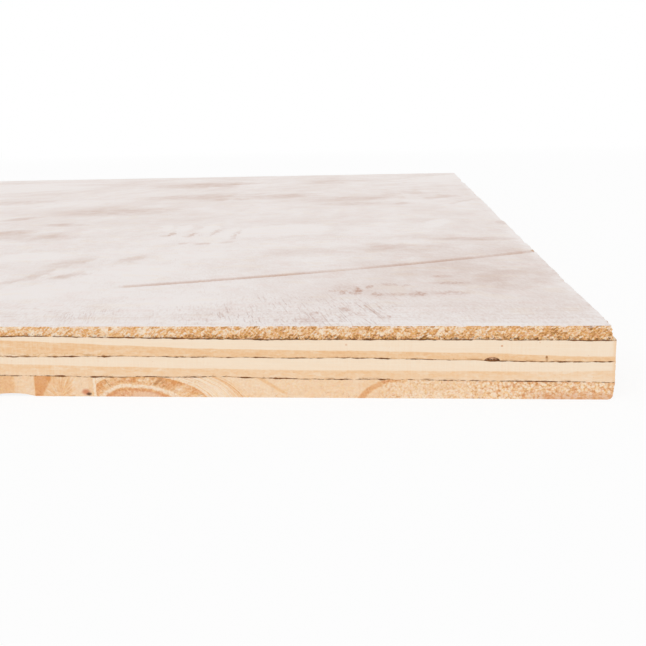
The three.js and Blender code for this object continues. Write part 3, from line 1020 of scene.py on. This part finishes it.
def build_ply(name, node, glue_below, glue_above, across, detail, extra=None):
    """One veneer: the solid's worn outline, waved glue lines and rough sawn edges.

    glue_below and glue_above are the glue lines that it lies between, or None on the outside of the
    sheet. across says that the grain runs across the sheet, so that the long edges show end grain.
    """
    thickness = glue_above.level(RIGHT_END) if glue_above else FACE_LEVEL
    thickness -= glue_below.level(RIGHT_END) if glue_below else UNDER_LEVEL
    solid = Solid(node)
    mesh = blank(thickness)
    halve_long_edges(mesh, longest_edge(detail, extra))
    through_ply = mesh.verts.layers.float.new("through_ply")
    for vertex in mesh.verts:
        x, y, z = vertex.co
        through = z / thickness
        on_right, on_left = x > RIGHT_END - NEAR, x < LEFT_END + NEAR
        on_front, on_rear = y < FRONT_EDGE + NEAR, y > BACK_EDGE - NEAR
        low = glue_below.level(x) if glue_below else UNDER_LEVEL
        high = glue_above.level(x) if glue_above else FACE_LEVEL
        from_end = RIGHT_END - x
        if from_end < WEAR_SPREAD:
            end_top = solid.height(RIGHT_END - WORN_ZONE, y, True)
            high = min(high, end_top)
            probe = low + (high - low) * through
            probe = min(max(probe, low + Solid.SHY), high - Solid.SHY)
            worn_back = solid.end_worn_back(y, probe)
            if not glue_above:
                end_spot = Vector((RIGHT_END, y, probe))
                worn_back += long_grain_relief(end_spot, through, detail.arris_tear * through)
            x -= worn_back * fade(from_end, WEAR_SPREAD)
        if from_end > WORN_ZONE or through > 1 - SKIN or through < SKIN:
            inside = min(max(x, LEFT_END + Solid.SHY), x - Solid.SHY if on_right else x)
            worn_low = solid.height(inside, y, False)
            worn_high = solid.height(inside, y, True)
            if worn_low is not None and (from_end > WORN_ZONE or through < 0.5):
                low = max(low, worn_low) if not glue_below else worn_low
            if worn_high is not None and (from_end > WORN_ZONE or through > 0.5):
                high = worn_high
        if glue_below:
            low += glue_below.rise(x) + detail.glue_gap / 2 * glue_below.share(x, y)
        if glue_above:
            high += glue_above.rise(x) - detail.glue_gap / 2 * glue_above.share(x, y)
        height = low + (high - low) * through
        grain_low = glue_below.height(x) if glue_below else low
        grain_high = glue_above.height(x) if glue_above else high
        spot = Vector((x, y, height))
        if on_front or on_rear:
            rough = end_grain_relief if across else long_grain_relief
            depth = detail.end_grain_pits if across else detail.long_grain_fur
            y += rough(spot, through, depth) * (1 if on_front else -1)
        if on_right or on_left:
            rough = long_grain_relief if across else end_grain_relief
            depth = detail.long_grain_fur if across else detail.end_grain_pits
            x += rough(spot, through, depth) * (1 if on_left else -1)
        vertex.co = (x, y, height)
        vertex[through_ply] = (height - grain_low) / (grain_high - grain_low)
    return finished_piece(name, mesh, node)


LEAST_SETBACK = 0.02 * MM    # of the glue from the sawn edges
GLUE_CLEARANCE = 0.005 * MM  # between the glue and each ply, and less where the glue is thinnest


def build_glue(name, line, detail):
    """The glue between two plies: a thin film that stops short of the sawn edges."""
    mesh = blank(detail.glue_gap)
    halve_long_edges(mesh, longest_edge(detail))
    for vertex in mesh.verts:
        x, y, z = vertex.co
        side = 1 if z > detail.glue_gap / 2 else -1
        half = detail.glue_gap / 2 * line.share(x, y)
        height = line.height(x) + side * max(half - GLUE_CLEARANCE, half / 2)
        ragged = noise.noise(Vector((x / (2.3 * MM), y / (2.3 * MM), 11 * line.number)))
        setback = max((0.1 + 0.12 * ragged) * MM, LEAST_SETBACK)
        if x > RIGHT_END - NEAR or x < LEFT_END + NEAR:
            x -= math.copysign(setback, x)
        if y < FRONT_EDGE + NEAR or y > BACK_EDGE - NEAR:
            y -= math.copysign(setback, y)
        vertex.co = (x, y, height)
    return finished_piece(name, mesh)


def build_lumps(name, lumps):
    """Rough lumps that lie in a hollow, one ball for each."""
    mesh = bmesh.new()
    for middle, half_sizes in lumps:
        ball = bmesh.ops.create_icosphere(mesh, subdivisions=3, radius=1)["verts"]
        bmesh.ops.scale(mesh, vec=Vector(half_sizes) * MM, verts=ball)
        bmesh.ops.translate(mesh, vec=Vector(middle) * MM, verts=ball)
        for vertex in ball:
            out = (vertex.co - Vector(middle) * MM) * 0.5
            vertex.co += out * (noise.noise(vertex.co / (0.25 * MM)) - 0.2)
            vertex.co.y = max(vertex.co.y, FRONT_EDGE + 0.05 * MM)
    return finished_piece(name, mesh)


def finished_piece(name, mesh, node=None):
    """Turns a bmesh into an object that rides on the sheet and may stand for a solid."""
    data = bpy.data.meshes.new(name)
    mesh.normal_update()
    mesh.to_mesh(data)
    mesh.free()
    data.shade_smooth()
    data.set_sharp_from_angle(angle=math.radians(50))
    piece = bpy.data.objects.new(name, data)
    bpy.context.scene.collection.objects.link(piece)
    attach(piece, BODY)
    if node:
        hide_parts(node)
    print(name, sum(len(side.vertices) - 2 for side in data.polygons), "triangles")
    return piece


def dress(piece, materials):
    """Gives a piece its materials, in the order of its sides."""
    for material in materials:
        piece.data.materials.append(material)


# Lumps of resin in the pocket of the front edge: middle and half sizes in millimetres
POCKET_LUMPS = (
    ((589.95, -304.62, 6.6), (0.64, 0.38, 0.32)),
    ((591.3, -304.62, 6.58), (0.7, 0.38, 0.32)),
    ((590.65, -304.5, 6.66), (0.6, 0.4, 0.3)),
)


# ---------------------------------------------------------------- operators

class PLYWOOD_OT_face_ply(bpy.types.Operator):
    """Builds the thin face ply, with its wash, torn arris and scrape"""

    bl_idname = "plywood.face_ply"
    bl_label = "Face ply"

    def execute(self, context):
        detail, finish = context.scene.plywood_detail, context.scene.plywood_finish
        turn = math.radians(SCRAPE_TURN)
        course = -Vector((math.cos(turn), math.sin(turn)))
        exit_place = Vector(SCRAPE_EXIT) * MM

        def near_scrape(point):
            offset = point.xy - exit_place
            share = min(max(offset.dot(course) / (SCRAPE_LENGTH * MM), 0), 1)
            bend = 4 * share * (1 - share) * SCRAPE_BOW * MM
            middle = course * share * SCRAPE_LENGTH * MM + Vector((-course.y, course.x)) * bend
            return detail.scrape_edge + 0.3 * max((offset - middle).length - 2 * MM, 0)

        ply = build_ply("whitewashed_face_ply", "face_veneer", UPPER_GLUE, None, True, detail, near_scrape)
        dress(ply, (
            whitewashed_face(finish),
            peeled_face(finish, "peeled inner face of the face ply"),
            torn_end_grain(finish),
            torn_long_grain(finish, "face"),
        ))
        return {"FINISHED"}


class PLYWOOD_OT_core_plies(bpy.types.Operator):
    """Builds the two crossbands"""

    bl_idname = "plywood.core_plies"
    bl_label = "Core plies"

    def execute(self, context):
        detail, finish = context.scene.plywood_detail, context.scene.plywood_finish
        inner = peeled_face(finish, "peeled inner face")
        upper = build_ply("upper_core_ply", "upper_crossband", MIDDLE_GLUE, UPPER_GLUE, False, detail)
        long_edge = sawn_long_grain(finish, "sawn upper core ply", UPPER_CORNER_LINE, 0.44, 0.9, 1.3, 0)
        ends = ringed_end_grain(finish, "end grain of the upper core ply", "y", 1)
        dress(upper, (inner, inner, long_edge, ends))
        lower = build_ply("lower_core_ply", "lower_crossband", LOWER_GLUE, MIDDLE_GLUE, False, detail)
        long_edge = sawn_long_grain(finish, "sawn lower core ply", LOWER_CORNER_LINE, 0.36, 0.55, 1.5, 0.3)
        ends = ringed_end_grain(finish, "end grain of the lower core ply", "y", 2)
        dress(lower, (inner, inner, long_edge, ends))
        return {"FINISHED"}


class PLYWOOD_OT_back_ply(bpy.types.Operator):
    """Builds the bare back ply, with its ring eyes, rubbed arris and bruise"""

    bl_idname = "plywood.back_ply"
    bl_label = "Back ply"

    def execute(self, context):
        detail, finish = context.scene.plywood_detail, context.scene.plywood_finish
        ply = build_ply("back_ply", "back_veneer", None, LOWER_GLUE, True, detail)
        dress(ply, (
            peeled_face(finish, "peeled inner face of the back ply"),
            peeled_face(finish, "bare back face"),
            ringed_end_grain(finish, "end grain of the back ply", "x"),
            torn_long_grain(finish, "back"),
        ))
        return {"FINISHED"}


class PLYWOOD_OT_glue_lines(bpy.types.Operator):
    """Builds the three glue lines between the plies, and the lumps of resin in the pocket"""

    bl_idname = "plywood.glue_lines"
    bl_label = "Glue lines"

    def execute(self, context):
        detail, finish = context.scene.plywood_detail, context.scene.plywood_finish
        resin = cured_glue(finish)
        for name, line in (
            ("upper_glue_line", UPPER_GLUE),
            ("middle_glue_line", MIDDLE_GLUE),
            ("lower_glue_line", LOWER_GLUE),
        ):
            film = build_glue(name, line, detail)
            dress(film, (resin,) * 4)
        dress(build_lumps("pocket_resin", POCKET_LUMPS), (pocket_resin(finish),))
        return {"FINISHED"}


class PLYWOOD_OT_studio(bpy.types.Operator):
    """Sets up the camera, the floor, the lamp and the white surroundings"""

    bl_idname = "plywood.studio"
    bl_label = "Studio"

    def execute(self, context):
        view = context.scene.plywood_view
        set_camera(context.scene, view)
        set_floor(context.scene, view)
        set_lights(context.scene, view)
        context.scene.view_settings.view_transform = "Standard"
        return {"FINISHED"}


FLOOR_REACH = 15          # half width of the floor, in metres
FLOOR_GAP = 0.02 * MM     # between the floor and the underside
FLOOR_FADE = (900, 3200)  # where it turns fully white, in millimetres from the middle of the sheet
KEY_SOFTNESS = math.radians(40)
KEY_TURN = (math.radians(48), 0, math.radians(-24))


def set_camera(scene, view):
    camera = bpy.data.objects.new("camera", bpy.data.cameras.new("camera"))
    camera.data.sensor_width = 36
    camera.data.lens = view.camera_lens
    camera.data.clip_start = 5 * MM
    camera.data.clip_end = 50
    turn = Matrix.Rotation(-view.camera_heading, 4, "Z")
    tilt = Matrix.Rotation(math.pi / 2 - view.camera_tilt, 4, "X")
    roll = Matrix.Rotation(view.camera_roll, 4, "Z")
    camera.matrix_world = Matrix.Translation(view.camera_place) @ turn @ tilt @ roll
    scene.collection.objects.link(camera)
    scene.camera = camera


def seen_by_camera(tree):
    """1 for a ray that the camera sees, straight, mirrored or through glass, and 0 for other light."""
    ray = tree.nodes.new("ShaderNodeLightPath")
    seen = ray.outputs["Is Camera Ray"]
    for kind in ("Is Glossy Ray", "Is Transmission Ray"):
        either = tree.nodes.new("ShaderNodeMath")
        either.operation = "MAXIMUM"
        tree.links.new(seen, either.inputs[0])
        tree.links.new(ray.outputs[kind], either.inputs[1])
        seen = either.outputs[0]
    return seen


def set_floor(scene, view):
    """A wide white floor that keeps the sheet's shadow and runs out into the white surroundings."""
    mesh = bmesh.new()
    bmesh.ops.create_grid(mesh, x_segments=8, y_segments=8, size=FLOOR_REACH)
    bmesh.ops.translate(mesh, vec=(0, 0, -FLOOR_GAP), verts=mesh.verts)
    data = bpy.data.meshes.new("floor")
    mesh.to_mesh(data)
    mesh.free()
    floor = bpy.data.objects.new("floor", data)
    scene.collection.objects.link(floor)

    graph = Graph("white floor")
    graph.shader.inputs["Base Color"].default_value = (0.95, 0.95, 0.95, 1)
    graph.shader.inputs["Roughness"].default_value = 1
    graph.shader.inputs["Specular IOR Level"].default_value = 0
    glow = graph.add("ShaderNodeEmission")
    far = graph.distance((0, 0, 0), (1, 1, 1)).above(*FLOOR_FADE)
    share = far * (1 - view.floor_glow) + view.floor_glow
    blend = graph.add("ShaderNodeMixShader")
    graph.feed(blend.inputs[0], share * Signal(graph, seen_by_camera(graph.material.node_tree)))
    graph.feed(blend.inputs[1], graph.shader.outputs[0])
    graph.feed(blend.inputs[2], glow.outputs[0])
    graph.feed(graph.nodes["Material Output"].inputs["Surface"], blend.outputs[0])
    data.materials.append(graph.material)


def set_lights(scene, view):
    """One large soft lamp, and an even white sky that the camera sees at full white."""
    lamp = bpy.data.lights.new("key", "SUN")
    lamp.energy = view.key_power
    lamp.angle = KEY_SOFTNESS
    key = bpy.data.objects.new("key", lamp)
    key.rotation_euler = KEY_TURN
    scene.collection.objects.link(key)

    world = bpy.data.worlds.new("surroundings")
    world.use_nodes = True
    nodes, links = world.node_tree.nodes, world.node_tree.links
    sky, backdrop = nodes["Background"], nodes.new("ShaderNodeBackground")
    for light in (sky, backdrop):
        light.inputs["Color"].default_value = (1, 1, 1, 1)
    sky.inputs["Strength"].default_value = view.sky_strength
    blend = nodes.new("ShaderNodeMixShader")
    links.new(seen_by_camera(world.node_tree), blend.inputs["Fac"])
    links.new(sky.outputs[0], blend.inputs[1])
    links.new(backdrop.outputs[0], blend.inputs[2])
    links.new(blend.outputs[0], nodes["World Output"].inputs["Surface"])
    scene.world = world


BUILDERS = (
    PLYWOOD_OT_face_ply,
    PLYWOOD_OT_core_plies,
    PLYWOOD_OT_back_ply,
    PLYWOOD_OT_glue_lines,
    PLYWOOD_OT_studio,
)


class PLYWOOD_PT_sheet(bpy.types.Panel):
    """Lists the sizes, the colours and what can be built"""

    bl_label = "Plywood Sheet"
    bl_space_type = "VIEW_3D"
    bl_region_type = "UI"
    bl_category = "Plywood"

    def draw(self, context):
        scene = context.scene
        for title, group in (
            ("Sheet", scene.plywood_detail),
            ("Finish", scene.plywood_finish),
            ("Studio", scene.plywood_view),
        ):
            box = self.layout.box()
            box.label(text=title)
            for name in group.__annotations__:
                box.prop(group, name)
        for builder in BUILDERS:
            self.layout.operator(builder.bl_idname)


CLASSES = (SheetDetail, WoodFinish, StudioView, *BUILDERS, PLYWOOD_PT_sheet)


def register():
    for each in CLASSES:
        bpy.utils.register_class(each)
    bpy.types.Scene.plywood_detail = PointerProperty(type=SheetDetail)
    bpy.types.Scene.plywood_finish = PointerProperty(type=WoodFinish)
    bpy.types.Scene.plywood_view = PointerProperty(type=StudioView)


def unregister():
    del bpy.types.Scene.plywood_view
    del bpy.types.Scene.plywood_finish
    del bpy.types.Scene.plywood_detail
    for each in reversed(CLASSES):
        bpy.utils.unregister_class(each)


def main():
    register()
    bpy.ops.plywood.face_ply()
    bpy.ops.plywood.core_plies()
    bpy.ops.plywood.back_ply()
    bpy.ops.plywood.glue_lines()
    bpy.ops.plywood.studio()


if __name__ == "__main__":
    main()
